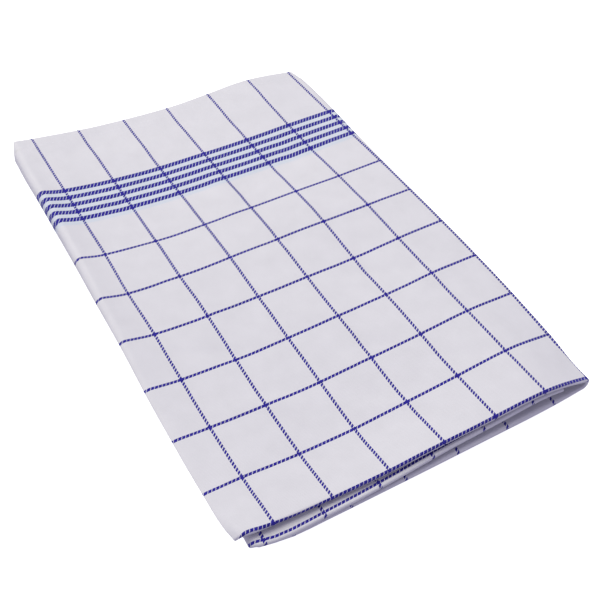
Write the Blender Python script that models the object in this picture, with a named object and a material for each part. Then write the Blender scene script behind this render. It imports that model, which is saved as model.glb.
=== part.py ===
"""Tea towel, folded to a pad: in half across its length, then in three across its width.

One woven cotton cloth, hemmed at both ends, lies on a flat surface as a pad of six sheets.
The front edge is the fold across the length. The right edge is the fold that joins the top
panel to the base panel, and the left edge is the fold that joins the base panel to the middle
panel, with the two selvages of the top panel hanging down over it.

Frame: +Y along the cloth's length from the front fold to the hems, +X across its width,
+Z up, origin under the middle of the pad. Lengths below are millimetres.
"""

import math

import bmesh
import bpy

MM = 0.001

# ---------------------------------------------------------------- the cloth as woven
CLOTH_WIDTH = 620.0
CLOTH_LENGTH = 650.0
SHEET = 1.0  # thickness of one sheet of the soft twill

# ---------------------------------------------------------------- where it is folded
PANEL_WIDTH = 201.0  # between the left and the right fold
EDGE_START = 10.0  # the top panel's free edge starts this far from the left fold
EDGE_CLOTH = 20.8  # cloth between that line and the selvage
EDGE_BEND = 2.8  # radius at which the free edge bends down
TURN_CLOTH = 21.2  # cloth taken up by the two turns between panels
LEAST_TURN = 2.1  # least radius at which two panels turn into each other
# The middle panel has what is left of the width, and stops short of the right fold.
MIDDLE_WIDTH = CLOTH_WIDTH - EDGE_CLOTH - (PANEL_WIDTH - EDGE_START) - TURN_CLOTH - PANEL_WIDTH
PAD_CENTRE_X = 100.30  # middle of the finished pad, so that the origin lies under it
PAD_CENTRE_Y = 163.06

# The two fold lines are nearly straight. Each row says where they run in one section.
FOLD_LINES = (
    # y, left, right
    (0.0, 1.4, 201.0),
    (14.0, 1.6, 200.2),
    (34.0, 1.6, 201.8),
    (110.0, 2.4, 202.6),
    (145.0, 3.6, 202.7),
    (190.0, 4.2, 202.8),
    (240.0, 4.4, 204.6),
    (270.0, 4.9, 206.2),
    (290.0, 5.6, 206.8),
    (308.0, 6.2, 206.6),
    (328.0, 7.6, 203.4),
)
TOP_LEFT = 1.0  # the top panel runs on past the left fold, so its own left is straight

# ---------------------------------------------------------------- the stack of sheets
LEAST_PITCH = 1.32  # least distance between the middles of two sheets
SHEETS = 6
FLAT_WITHIN = 0.01  # a point this near the resting surface lies on it

# Height of the top sheet's middle above the floor, a row for each section across the pad.
# The columns are the free edge and then six of the cloth's blue lengthwise lines.
RELIEF_X = (-6.0, 11.0, 59.0, 107.0, 139.0, 171.0, 203.0)
RELIEF = (
    # y,    edge, line 1, line 2.5, line 4, line 5, line 6, line 7
    (0.0, (12.4, 12.6, 10.6, 13.8, 15.0, 16.6, 8.6)),
    (34.0, (11.0, 10.6, 7.4, 9.6, 12.4, 15.7, 11.2)),
    (85.0, (12.4, 10.4, 8.2, 10.4, 12.4, 14.0, 13.8)),
    (136.0, (16.2, 12.6, 10.2, 10.8, 11.6, 14.0, 14.4)),
    (187.0, (18.8, 14.5, 11.2, 12.0, 13.0, 13.4, 13.9)),
    (255.0, (20.0, 14.4, 9.4, 9.0, 9.2, 10.4, 11.5)),
    (328.0, (17.0, 14.2, 8.4, 7.3, 8.8, 11.2, 9.3)),
)

# How the height beyond the least is shared among the five spaces from the floor up:
# inside the base panel, below the middle panel, inside it, above it, inside the top panel.
SHARES = {
    # place: (base, below, middle, above, top)
    "front left": (0.26, 0.06, 0.24, 0.26, 0.18),
    "front right": (0.20, 0.52, 0.08, 0.05, 0.15),
    "inside left": (0.12, 0.34, 0.12, 0.32, 0.10),
    "inside right": (0.06, 0.66, 0.06, 0.14, 0.08),
}
FRONT_DEPTH = 28.0  # over this length the front shares turn into the inside ones

# Where each panel ends in front, at the fold, a row for each place across the pad. The
# front left corners of the lower panels are drawn in.
FRONT_FOLD = (
    # x, base, middle, top
    (-10.0, 9.0, 4.0, 7.8),
    (0.0, 5.6, 1.2, 6.0),
    (12.0, 1.2, -0.8, 5.2),
    (40.0, 0.2, -0.4, 4.5),
    (80.0, 0.2, 0.6, 3.5),
    (110.0, 0.4, 1.6, 3.1),
    (160.0, 0.8, 2.0, 2.5),
    (185.0, 1.2, 2.2, 2.0),
    (201.0, 1.8, 2.2, 1.2),
)
# How far the hems lie beyond half the cloth's length at the back.
BACK_HEMS = (
    # x, base, middle, top
    (0.0, -1.4, -2.4, 2.8),
    (20.0, -1.2, -2.2, 3.0),
    (60.0, -0.9, -1.7, 3.8),
    (110.0, -0.4, -1.0, 3.0),
    (150.0, -0.1, -0.5, 3.6),
    (185.0, 0.1, -0.1, 2.4),
    (201.0, 0.2, 0.0, 1.0),
)
PANEL_COLUMN = {"base": 1, "middle": 2, "top": 3}
LOWER_SHEET = {"base": 0, "middle": 2, "top": 4}  # each panel is two sheets, counted from 0

# The free edge of the top panel: straight for a while, then bent down, a row per section.
FREE_EDGE = (
    # y, length, straight part of it, angle of the bend in degrees
    (0.0, 19.6, 13.6, 46.0),
    (14.0, 21.0, 17.6, 24.0),
    (34.0, 21.0, 19.0, 14.0),
    (68.0, 21.0, 19.2, 14.0),
    (102.0, 20.4, 18.4, 30.0),
    (136.0, 19.2, 16.6, 52.0),
    (170.0, 18.9, 15.2, 68.0),
    (204.0, 18.7, 13.8, 76.0),
    (239.0, 19.0, 12.8, 79.0),
    (268.0, 18.4, 12.6, 80.0),
    (300.0, 18.4, 12.0, 82.0),
    (328.0, 17.8, 9.6, 86.0),
)

# ---------------------------------------------------------------- how finely it is modelled
STEPS_ACROSS = 11  # over a panel, the middle one takes one less
STEPS_ALONG = 17  # from the front fold to the hems
STEPS_EDGE = 8
STEPS_RIGHT_TURN = 8
STEPS_LEFT_TURN = 7
STEPS_FRONT_TURN = 7

CLOTH_COLOUR = (0.74, 0.73, 0.77, 1.0)


def ease(t):
    """Smooth step from 0 to 1."""
    t = min(max(t, 0.0), 1.0)
    return t * t * (3.0 - 2.0 * t)


def mix(a, b, t):
    """Value between a and b."""
    return a + (b - a) * t


def read_table(rows, column, at):
    """Reads a table's column smoothly at a place between its rows, whose places come first."""
    return along_curve([row[0] for row in rows], [row[column] for row in rows], at)


def along_curve(places, values, at):
    """Reads a smooth curve through values at rising places."""
    last = len(places) - 1
    at = min(max(at, places[0]), places[last])
    i = 0
    while i < last - 1 and at > places[i + 1]:
        i += 1
    step = places[i + 1] - places[i]
    t = (at - places[i]) / step

    def slope(k):
        low, high = max(k - 1, 0), min(k + 1, last)
        return (values[high] - values[low]) / (places[high] - places[low])

    rise = values[i + 1] - values[i]
    bend_in = slope(i) * step - rise
    bend_out = rise - slope(i + 1) * step
    return values[i] + rise * t + t * (1.0 - t) * ((1.0 - t) * bend_in + t * bend_out)


def top_height(x, y):
    """Height of the top sheet's middle above the floor."""
    section_places = [row[0] for row in RELIEF]
    heights = [along_curve(RELIEF_X, row[1], x) for row in RELIEF]
    return along_curve(section_places, heights, y)


def sheet_heights(x, y):
    """Heights of the six sheets' middles, from the floor up."""
    across = ease(x / PANEL_WIDTH)
    inwards = ease(y / FRONT_DEPTH)
    lowest = SHEET / 2.0
    spaces = SHEETS - 1
    spare = max(top_height(x, y) - lowest - spaces * LEAST_PITCH, 0.0)
    heights = [lowest]
    for k in range(spaces):
        front = mix(SHARES["front left"][k], SHARES["front right"][k], across)
        inside = mix(SHARES["inside left"][k], SHARES["inside right"][k], across)
        heights.append(heights[-1] + LEAST_PITCH + spare * mix(front, inside, inwards))
    return heights


def panel_middle(panel, x, y):
    """Height halfway between a panel's two sheets, and half the distance between them."""
    heights = sheet_heights(x, y)
    low, high = heights[LOWER_SHEET[panel]], heights[LOWER_SHEET[panel] + 1]
    return (low + high) / 2.0, (high - low) / 2.0


def panel_place(panel, across, t):
    """Place (x, y) on a panel, from 0 to 1 across it and from front fold to hems."""
    front = read_table(FRONT_FOLD, PANEL_COLUMN[panel], PANEL_WIDTH * across)
    back = CLOTH_LENGTH / 2.0 + read_table(BACK_HEMS, PANEL_COLUMN[panel], PANEL_WIDTH * across)
    y = mix(front, back, t)
    left = TOP_LEFT if panel == "top" else read_table(FOLD_LINES, 1, y)
    return mix(left, read_table(FOLD_LINES, 2, y), across), y


# Each section below gives, for a share t of the length, the point midway between the two
# sheets (x, y, z), the direction towards the outer sheet (x, z) and half their distance.


def flat_section(panel, across):
    """A line along a panel where it lies flat."""
    up = -1.0 if panel == "base" else 1.0

    def read(t):
        x, y = panel_place(panel, across, t)
        z, half = panel_middle(panel, x, y)
        return (x, y, z), (0.0, up), half

    return read


def turn_section(upper, side, share):
    """A line along the fold between the base and an upper panel, at this share of the turn."""
    angle = math.pi * share
    across = 0.0 if side < 0.0 else 1.0

    def read(t):
        x, low_y = panel_place("base", across, t)
        y = mix(low_y, panel_place(upper, across, t)[1], share)
        low, low_half = panel_middle("base", x, y)
        high, high_half = panel_middle(upper, x, y)
        radius = (high - low) / 2.0
        bulge = math.sqrt(LEAST_TURN * radius)
        outwards, upwards = side * math.sin(angle), -math.cos(angle)
        point = (x + bulge * outwards, y, (low + high) / 2.0 + radius * upwards)
        length = math.hypot(radius * outwards, bulge * upwards)
        normal = (radius * outwards / length, bulge * upwards / length)
        return point, normal, mix(low_half, high_half, share)

    return read


def edge_section(share):
    """A line along the top panel's free edge: 0 where it starts and 1 at the selvage."""
    start = EDGE_START / PANEL_WIDTH

    def read(t):
        x = panel_place("top", start, t)[0]
        y = panel_place("top", start * (1.0 - 2.0 * share), t)[1]
        run = share * read_table(FREE_EDGE, 1, y)
        straight = read_table(FREE_EDGE, 2, y)
        bend = math.radians(read_table(FREE_EDGE, 3, y))
        level_run = min(run, straight)
        turned = min(max(run - straight, 0.0) / EDGE_BEND, bend)
        hanging = max(run - straight - EDGE_BEND * bend, 0.0)
        z, half = panel_middle("top", x - level_run, y)
        x -= level_run + EDGE_BEND * math.sin(turned) + hanging * math.cos(turned)
        z -= EDGE_BEND * (1.0 - math.cos(turned)) + hanging * math.sin(turned)
        return (x, y, z), (-math.sin(turned), math.cos(turned)), half

    return read


def sections_across():
    """All lines along the cloth, from the top panel's selvage to the middle panel's."""
    steps = [k / STEPS_ACROSS for k in range(STEPS_ACROSS + 1)]
    middle_end = MIDDLE_WIDTH / PANEL_WIDTH
    sections = [edge_section(1.0 - k / STEPS_EDGE) for k in range(STEPS_EDGE + 1)]
    sections += [flat_section("top", across) for across in steps[1:]]
    for k in range(1, STEPS_RIGHT_TURN):
        share = 1.0 - k / STEPS_RIGHT_TURN
        sections.append(turn_section("top", 1.0, share))
    sections += [flat_section("base", across) for across in reversed(steps)]
    for k in range(1, STEPS_LEFT_TURN):
        share = k / STEPS_LEFT_TURN
        sections.append(turn_section("middle", -1.0, share))
    sections += [flat_section("middle", across) for across in steps[:-2]]
    sections.append(flat_section("middle", middle_end))
    return sections


def stops_along():
    """Stops from one hem over the front fold to the other: share of length, fold angle."""
    shares = [1.0 - k / STEPS_ALONG for k in range(STEPS_ALONG + 1)]
    outer = [(share, 0.0) for share in shares]
    turn = [(0.0, math.pi * k / STEPS_FRONT_TURN) for k in range(1, STEPS_FRONT_TURN)]
    inner = [(share, math.pi) for share in reversed(shares)]
    return outer + turn + inner


def cloth_point(section, stop):
    """Point of the cloth's middle surface at a section and a stop, in metres."""
    share, angle = stop
    (x, y, z), (normal_x, normal_z), half = section(share)
    offset = half * math.cos(angle)
    x += normal_x * offset - PAD_CENTRE_X
    y -= half * math.sin(angle) + PAD_CENTRE_Y
    z += normal_z * offset
    return x * MM, y * MM, z * MM


def cloth_material():
    """White cotton twill."""
    material = bpy.data.materials.new("white_cotton_twill")
    material.use_nodes = True
    shader = material.node_tree.nodes["Principled BSDF"]
    shader.inputs["Base Color"].default_value = CLOTH_COLOUR
    shader.inputs["Roughness"].default_value = 0.9
    shader.inputs["Metallic"].default_value = 0.0
    return material


def build_cloth():
    """The whole towel as one thin closed body: a flat grid, folded, then given its thickness."""
    sections = sections_across()
    stops = stops_along()
    across, along = len(sections) - 1, len(stops) - 1
    shape = bmesh.new()
    bmesh.ops.create_grid(shape, x_segments=across, y_segments=along, size=1.0)
    for vertex in shape.verts:
        i = round((vertex.co.x + 1.0) / 2.0 * across)
        j = round((vertex.co.y + 1.0) / 2.0 * along)
        vertex.co = cloth_point(sections[i], stops[j])
    mesh = bpy.data.meshes.new("towel_cloth")
    shape.to_mesh(mesh)
    shape.free()
    mesh.shade_smooth()
    mesh.materials.append(cloth_material())
    cloth = bpy.data.objects.new("towel_cloth", mesh)
    bpy.context.collection.objects.link(cloth)
    thickness = cloth.modifiers.new("sheet thickness", "SOLIDIFY")
    thickness.thickness = SHEET * MM
    thickness.offset = 0.0
    thickness.use_even_offset = True
    return cloth


def lay_flat(cloth):
    """Keeps the thick cloth as plain mesh, with its underside exactly on the surface."""
    graph = bpy.context.evaluated_depsgraph_get()
    mesh = bpy.data.meshes.new_from_object(cloth.evaluated_get(graph))
    cloth.modifiers.clear()
    cloth.data = mesh
    for vertex in mesh.vertices:
        if abs(vertex.co.z) < FLAT_WITHIN * MM:
            vertex.co.z = 0.0


def main():
    for old in list(bpy.data.objects):
        bpy.data.objects.remove(old, do_unlink=True)
    lay_flat(build_cloth())


if __name__ == "__main__":
    main()
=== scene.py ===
"""Tea towel of white cotton twill with a dark blue check, folded to a pad.

The cloth is one woven sheet with a hem at both ends. It is folded in half along its length
and then in three across its width, so that the pad has six sheets. The script folds a flat
grid along the pad's sections, gives it the cloth's thickness and weaves it thread by thread
in its material.

Sizes are millimetres unless a name says otherwise. In the fold's own frame x runs from the
left fold and y from the front fold, and the pad's middle is then moved onto the origin.
"""

import logging
import math
from collections.abc import Callable
from dataclasses import dataclass, field
from enum import Enum

import bmesh
import bpy
from mathutils import Matrix, Vector


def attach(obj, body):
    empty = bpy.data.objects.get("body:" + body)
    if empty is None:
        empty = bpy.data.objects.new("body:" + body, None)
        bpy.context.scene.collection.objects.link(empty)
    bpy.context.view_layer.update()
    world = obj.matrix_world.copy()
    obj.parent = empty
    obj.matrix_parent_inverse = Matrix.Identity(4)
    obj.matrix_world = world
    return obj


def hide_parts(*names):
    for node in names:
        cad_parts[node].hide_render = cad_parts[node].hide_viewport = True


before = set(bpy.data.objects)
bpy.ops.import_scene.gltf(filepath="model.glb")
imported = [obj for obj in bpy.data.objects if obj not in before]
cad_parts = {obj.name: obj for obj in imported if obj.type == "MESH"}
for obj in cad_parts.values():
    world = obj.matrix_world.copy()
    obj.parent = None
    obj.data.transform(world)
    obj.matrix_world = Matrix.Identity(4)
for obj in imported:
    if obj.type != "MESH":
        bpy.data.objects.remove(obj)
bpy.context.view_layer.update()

MM = 0.001
LOG = logging.getLogger("tea_towel")
UV_NAME = "cloth_run"
THICKNESS_GROUP = "cloth_thickness"

Row = tuple[float, ...]
Setting = str | float | bool
Socket = bpy.types.NodeSocket
Tree = bpy.types.NodeTree


class Panel(Enum):
    """The three panels of the pad. The value is the panel's column in the fold tables."""

    BASE = 1
    MIDDLE = 2
    TOP = 3

    @property
    def lower_sheet(self) -> int:
        """Number of the panel's lower sheet, counted from the floor."""
        return 2 * (self.value - 1)


class Side(Enum):
    """The two long folds. The value is the direction in which the fold bulges."""

    LEFT = -1.0
    RIGHT = 1.0


# ------------------------------------------------------------------------------ curves


def ease(t: float) -> float:
    """Smooth step.

    Args:
        t: Place, where 0 and below is the start and 1 and above the end.

    Returns:
        A value from 0 to 1.
    """
    t = min(max(t, 0.0), 1.0)
    return t * t * (3.0 - 2.0 * t)


def mix(a: float, b: float, t: float) -> float:
    """Value between two others.

    Args:
        a: Value at t = 0.
        b: Value at t = 1.
        t: Share of the way.

    Returns:
        The value.
    """
    return a + (b - a) * t


def along_curve(places: Row, values: Row, at: float) -> float:
    """Reads a smooth curve through values at rising places.

    Args:
        places: Where the values hold, rising.
        values: The values.
        at: Where to read, held inside the first and last place.

    Returns:
        The curve's value there.
    """
    last = len(places) - 1
    at = min(max(at, places[0]), places[last])
    i = 0
    while i < last - 1 and at > places[i + 1]:
        i += 1
    step = places[i + 1] - places[i]
    t = (at - places[i]) / step

    def slope(k: int) -> float:
        """Slope of the curve at place k."""
        low, high = max(k - 1, 0), min(k + 1, last)
        return (values[high] - values[low]) / (places[high] - places[low])

    rise = values[i + 1] - values[i]
    bend_in = slope(i) * step - rise
    bend_out = rise - slope(i + 1) * step
    return values[i] + rise * t + t * (1.0 - t) * ((1.0 - t) * bend_in + t * bend_out)


@dataclass(frozen=True)
class Table:
    """A short table whose first column says where each row holds.

    Attributes:
        rows: The rows, with rising places.
    """

    rows: tuple[Row, ...]

    def read(self, column: int, at: float) -> float:
        """Reads a column smoothly at a place between the rows.

        Args:
            column: Number of the column, from 1.
            at: The place.

        Returns:
            The column's value there.
        """
        return along_curve(
            tuple(row[0] for row in self.rows), tuple(row[column] for row in self.rows), at
        )


# ------------------------------------------------------------------------------- cloth


@dataclass(frozen=True)
class ClothPlan:
    """The cloth as it is woven and hemmed, before it is folded.

    Attributes:
        width: From selvage to selvage.
        length: From hem to hem.
        sheet: Thickness of one sheet of twill.
        hem_width: Depth of the turned hem.
        hem_sheet: Thickness of the hem, three layers pressed flat.
        warp_pitch: Distance between lengthwise threads.
        weft_pitch: Distance between crosswise threads.
        twill_repeat: Threads in one repeat of the twill.
        warp_repeat: Lengthwise threads from one check line to the next.
        weft_repeat: Crosswise threads from one check line to the next.
        line_threads: Blue threads in a check line.
        first_warp: Number of the first blue lengthwise thread, counted from the selvage.
        middle_line: Number of the first thread of the crosswise line at half the length.
        last_line: Crosswise check lines start beyond this thread, counted from a hem.
        stripe_threads: Blue threads in a stripe of the border.
        stripe_repeat: Threads from one stripe to the next.
        first_stripe: Number of the border's first blue thread, counted from the hem.
        stripes: Stripes in the border.
    """

    width: float = 620.0
    length: float = 650.0
    sheet: float = 0.6
    hem_width: float = 10.0
    hem_sheet: float = 1.15
    warp_pitch: float = 32.0 / 72.0
    weft_pitch: float = 34.0 / 80.0
    twill_repeat: int = 4
    warp_repeat: int = 72
    weft_repeat: int = 80
    line_threads: int = 4
    first_warp: int = 48
    middle_line: int = 763
    last_line: int = 244
    stripe_threads: int = 9
    stripe_repeat: int = 17
    first_stripe: int = 129
    stripes: int = 5


# -------------------------------------------------------------------------------- fold


@dataclass(frozen=True)
class Spot:
    """One spot midway between the two sheets of a panel.

    Attributes:
        x: Place across the pad.
        y: Place along the pad.
        z: Height.
        out_x: Direction towards the outer sheet, across.
        out_z: Direction towards the outer sheet, upwards.
        half: Half the distance between the middles of the two sheets.
        run: Cloth from the top panel's selvage to here.
    """

    x: float
    y: float
    z: float
    out_x: float
    out_z: float
    half: float
    run: float


class Section:
    """A line along the pad from the front fold to the hems, at one place across the cloth."""

    def __init__(
        self, read: Callable[[float], Spot], line_drop: float, on_top: float = 0.0
    ) -> None:
        """Keeps the line.

        Args:
            read: Gives the spot at a share of the length, 0 in front and 1 at the hems.
            line_drop: How far the cloth's middle line lies past the middle of the front turn.
            on_top: 1 on the top panel, less in the fold that leads down from it, 0 elsewhere.
        """
        self.read = read
        self.line_drop = line_drop
        self.on_top = on_top
        self.front = read(0.0).y
        self.back = read(1.0).y


@dataclass(frozen=True)
class Stop:
    """A place along the cloth: a share of the pad's length and an angle of the front turn.

    Attributes:
        share: 0 at the front fold, 1 at the hems.
        angle: 0 on the outer sheet, pi on the inner one, between them in the front turn.
        hem: True inside the turned hem.
    """

    share: float
    angle: float
    hem: bool = False


@dataclass(frozen=True)
class ClothPoint:
    """A point of the folded sheet.

    Attributes:
        place: Point of the sheet's middle surface, in metres.
        run: Cloth from the selvage, in metres.
        length: Cloth from the first hem, in metres.
        sheet: Thickness here, in millimetres.
    """

    place: Vector
    run: float
    length: float
    sheet: float


@dataclass(frozen=True)
class Crease:
    """A soft trough or ridge pressed into the top panel.

    Attributes:
        x0: Start across the pad.
        y0: Start along the pad.
        x1: End across the pad.
        y1: End along the pad.
        width: Distance from its line at which it has nearly faded.
        height: Height of the ridge, or depth of the trough where negative.
        fall: How steeply it fades away from its line.
        ends: How bluntly it fades towards its ends.
        reach: It is left out beyond this many widths.
    """

    x0: float
    y0: float
    x1: float
    y1: float
    width: float
    height: float
    fall: float = 1.5
    ends: float = 0.7
    reach: float = 2.0

    def lift(self, x: float, y: float) -> float:
        """Height that the crease adds at a place.

        Args:
            x: Place across the pad.
            y: Place along the pad.

        Returns:
            The height.
        """
        dx, dy = self.x1 - self.x0, self.y1 - self.y0
        length = math.hypot(dx, dy)
        t = ((x - self.x0) * dx + (y - self.y0) * dy) / (length * length)
        if not 0.0 < t < 1.0:
            return 0.0
        off = abs((x - self.x0) * dy - (y - self.y0) * dx) / length
        if off > self.reach * self.width:
            return 0.0
        fading = math.exp(-((self.fall * off / self.width) ** 2))
        return self.height * fading * math.sin(math.pi * t) ** self.ends


@dataclass(frozen=True)
class Shift:
    """A patch of the top panel where the threads lie a little aside.

    Attributes:
        x: Middle of the patch across the pad.
        y: Its middle along the pad.
        reach_x: How far it reaches across.
        reach_y: How far it reaches along.
        across: How far the lengthwise threads are shifted to the left.
        along: How far the crosswise threads are shifted to the back.
    """

    x: float
    y: float
    reach_x: float
    reach_y: float
    across: float
    along: float

    def share(self, x: float, y: float) -> float:
        """Share of the shift that holds at a place.

        Args:
            x: Place across the pad.
            y: Place along the pad.

        Returns:
            1 in the middle of the patch and 0 outside it.
        """
        near_x = 1.0 - abs(x - self.x) / self.reach_x
        near_y = 1.0 - abs(y - self.y) / self.reach_y
        return ease(near_x) * ease(near_y)


@dataclass
class FoldedPad:
    """How the cloth lies: in half along its length, then in three across its width.

    Attributes:
        cloth: The cloth that is folded.
        panel_width: Between the left and the right fold.
        edge_start: The top panel's free edge starts this far from the left fold.
        edge_bend: Radius at which the free edge bends down.
        middle_width: Width of the middle panel, which stops short of the right fold.
        least_turn: Least radius at which two panels turn into each other.
        top_left: The top panel's own left, past the left fold.
        least_pitch: Least distance between the middles of two sheets.
        sheets: Sheets of cloth in the pad.
        front_depth: Over this length from the front, the spare height is shared anew.
        centre_x: Middle of the pad across, moved onto the origin.
        centre_y: Middle of the pad along, moved onto the origin.
        fold_lines: Where the two long folds run.
        relief_x: Places across of the relief's columns: the free edge and six blue lines.
        relief: Height of the top sheet, a row for each section across the pad.
        shares: How spare height is shared among the five spaces from the floor up.
        front_fold: Where each panel ends in front.
        back_hems: How far the hems lie beyond half the cloth's length.
        free_edge: Length, straight part and bend of the free edge.
        creases: Soft troughs and ridges of the top panel.
        shifts: Patches of the top panel where the threads lie aside.
        run_of_x0: Cloth from the selvage at x = 0 of the top panel.
        base_run: The same at x = 0 of the base panel, as the front shows it.
        left_turn_cloth: Cloth in the turn between the base and the middle panel.
        turn_arcs: Short arcs in which the right turn's length is added up.
        line_drops: How far the cloth's middle line lies past the middle of the front turn.
        thread_drift: Over this length from the front, the base's threads join its fold.
        front_reach: Over this length the front fold's slant fades out of the crosswise lines.
        back_reach: From this place on, the hems' own slant draws the crosswise lines.
        hem_pulls: How far the hem draws in the selvage, at its inner and its outer side.
        hem_edge: Length over which the selvage is drawn in.
        hem_rise: Over this length before the hems, the sheets make room for them.
        hem_room: Shares of the hem's extra thickness that the spaces give: more inside a
            panel, where the hems lie, and less between panels, which press together there.
    """

    cloth: ClothPlan = field(default_factory=ClothPlan)
    panel_width: float = 201.0
    edge_start: float = 10.0
    edge_bend: float = 2.8
    middle_width: float = 186.0
    least_turn: float = 2.1
    top_left: float = 1.0
    least_pitch: float = 1.32
    sheets: int = 6
    front_depth: float = 28.0
    centre_x: float = 100.30
    centre_y: float = 163.06
    fold_lines: Table = Table(
        (
            # y, left, right
            (0.0, 1.4, 201.0),
            (14.0, 1.6, 200.2),
            (34.0, 1.6, 201.8),
            (110.0, 2.4, 202.6),
            (145.0, 3.6, 202.7),
            (190.0, 4.2, 202.8),
            (240.0, 4.4, 204.6),
            (270.0, 4.9, 206.2),
            (290.0, 5.6, 206.8),
            (308.0, 6.2, 206.6),
            (328.0, 7.6, 203.4),
        )
    )
    relief_x: Row = (-6.0, 11.0, 59.0, 107.0, 139.0, 171.0, 203.0)
    relief: Table = Table(
        (
            # y, edge, line 1, line 2.5, line 4, line 5, line 6, line 7
            (0.0, 12.4, 12.6, 10.6, 13.8, 15.0, 16.6, 8.6),
            (34.0, 11.0, 10.6, 7.4, 9.6, 12.4, 15.7, 11.2),
            (85.0, 12.4, 10.4, 8.2, 10.4, 12.4, 14.0, 13.8),
            (136.0, 16.2, 12.6, 10.2, 10.8, 11.6, 14.0, 14.4),
            (187.0, 18.8, 14.5, 11.2, 12.0, 13.0, 13.4, 13.9),
            (255.0, 20.0, 14.4, 9.4, 9.0, 9.2, 10.4, 11.5),
            (328.0, 17.0, 14.2, 8.4, 7.3, 8.8, 11.2, 9.3),
        )
    )
    shares: dict[str, Row] = field(
        default_factory=lambda: {
            # place: (inside base, below middle, inside middle, above middle, inside top)
            "front left": (0.26, 0.06, 0.24, 0.26, 0.18),
            "front right": (0.20, 0.52, 0.08, 0.05, 0.15),
            "inside left": (0.12, 0.34, 0.12, 0.32, 0.10),
            "inside right": (0.06, 0.66, 0.06, 0.14, 0.08),
        }
    )
    front_fold: Table = Table(
        (
            # x, base, middle, top
            (-10.0, 9.0, 4.0, 7.8),
            (0.0, 5.6, 1.2, 6.0),
            (12.0, 1.2, -0.8, 5.2),
            (40.0, 0.2, -0.4, 4.5),
            (80.0, 0.2, 0.6, 3.5),
            (110.0, 0.4, 1.6, 3.1),
            (160.0, 0.8, 2.0, 2.5),
            (185.0, 1.2, 2.2, 2.0),
            (201.0, 1.8, 2.2, 1.2),
        )
    )
    back_hems: Table = Table(
        (
            # x, base, middle, top
            (0.0, -1.4, -2.4, 2.8),
            (20.0, -1.2, -2.2, 3.0),
            (60.0, -0.9, -1.7, 3.8),
            (110.0, -0.4, -1.0, 3.0),
            (150.0, -0.1, -0.5, 3.6),
            (185.0, 0.1, -0.1, 2.4),
            (201.0, 0.2, 0.0, 1.0),
        )
    )
    free_edge: Table = Table(
        (
            # y, length, straight part of it, angle of the bend in degrees
            (0.0, 16.2, 10.4, 54.0),
            (6.0, 18.8, 13.6, 38.0),
            (16.0, 20.6, 17.4, 22.0),
            (34.0, 21.0, 19.0, 14.0),
            (68.0, 21.0, 19.2, 14.0),
            (102.0, 20.4, 18.4, 30.0),
            (136.0, 19.2, 16.6, 52.0),
            (170.0, 18.9, 15.2, 68.0),
            (204.0, 18.7, 13.8, 76.0),
            (239.0, 19.0, 12.8, 79.0),
            (268.0, 18.4, 12.6, 80.0),
            (300.0, 18.4, 12.0, 82.0),
            (328.0, 17.8, 9.6, 86.0),
        )
    )
    creases: tuple[Crease, ...] = (
        # Pressed in along the old folds and between the check lines, as uneven as the cloth.
        Crease(18.0, 300.0, 66.0, 322.0, 12.0, -0.72),
        Crease(40.0, 288.0, 104.0, 300.0, 10.0, 0.56),
        Crease(96.0, 318.0, 150.0, 286.0, 13.0, -0.64),
        Crease(150.0, 322.0, 196.0, 300.0, 11.0, 0.48),
        Crease(14.0, 214.0, 70.0, 200.0, 9.0, -0.56),
        Crease(58.0, 232.0, 120.0, 214.0, 10.0, 0.56),
        Crease(116.0, 226.0, 186.0, 238.0, 11.0, -0.64),
        Crease(30.0, 176.0, 52.0, 128.0, 9.0, 0.56),
        Crease(74.0, 190.0, 128.0, 158.0, 10.0, -0.64),
        Crease(134.0, 186.0, 194.0, 166.0, 10.0, 0.48),
        Crease(12.0, 122.0, 64.0, 96.0, 8.0, -0.56),
        Crease(70.0, 128.0, 112.0, 100.0, 9.0, 0.56),
        Crease(120.0, 132.0, 172.0, 108.0, 9.0, -0.56),
        Crease(150.0, 92.0, 198.0, 112.0, 10.0, 0.56),
        Crease(22.0, 76.0, 74.0, 58.0, 8.0, 0.48),
        Crease(84.0, 84.0, 140.0, 66.0, 9.0, -0.56),
        Crease(16.0, 38.0, 60.0, 24.0, 8.0, -0.48),
        Crease(72.0, 44.0, 128.0, 30.0, 8.0, 0.56),
        Crease(134.0, 52.0, 180.0, 30.0, 9.0, -0.56),
        Crease(34.0, 262.0, 44.0, 206.0, 8.0, -0.40),
        Crease(104.0, 270.0, 96.0, 196.0, 9.0, 0.40),
        Crease(160.0, 268.0, 152.0, 204.0, 8.0, -0.40),
    )
    shifts: tuple[Shift, ...] = (
        Shift(108.0, 168.0, 80.0, 46.0, -0.7, 1.8),
        Shift(45.0, 170.0, 36.0, 40.0, 0.6, 0.0),
        Shift(90.0, 34.0, 50.0, 40.0, 0.5, 0.0),
        Shift(25.0, 62.0, 60.0, 85.0, 1.2, 0.0),
        Shift(12.0, 172.0, 34.0, 40.0, 1.0, -0.8),
        Shift(206.0, 150.0, 60.0, 150.0, 0.0, 0.8),
        Shift(206.0, 22.0, 50.0, 60.0, 1.2, 0.6),
    )
    run_of_x0: float = 10.8
    base_run: float = 426.0
    left_turn_cloth: float = 10.6
    turn_arcs: int = 12
    line_drops: Table = Table(
        (
            # x, base, middle, top
            (-10.0, 1.6, 2.6, -2.2),
            (-4.0, 1.6, 2.6, 1.2),
            (6.0, 1.6, 2.6, 1.0),
            (24.0, 1.6, 2.6, 0.2),
            (60.0, 1.6, 2.8, 0.8),
            (100.0, 1.6, 3.2, 1.0),
            (201.0, 1.6, 3.2, 1.6),
        )
    )
    thread_drift: float = 80.0
    front_reach: float = 30.0
    back_reach: float = 270.0
    hem_pulls: Row = (4.2, 7.0)
    hem_edge: float = 1.6
    hem_rise: float = 8.0
    hem_room: Row = (0.8, -1.2)

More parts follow.
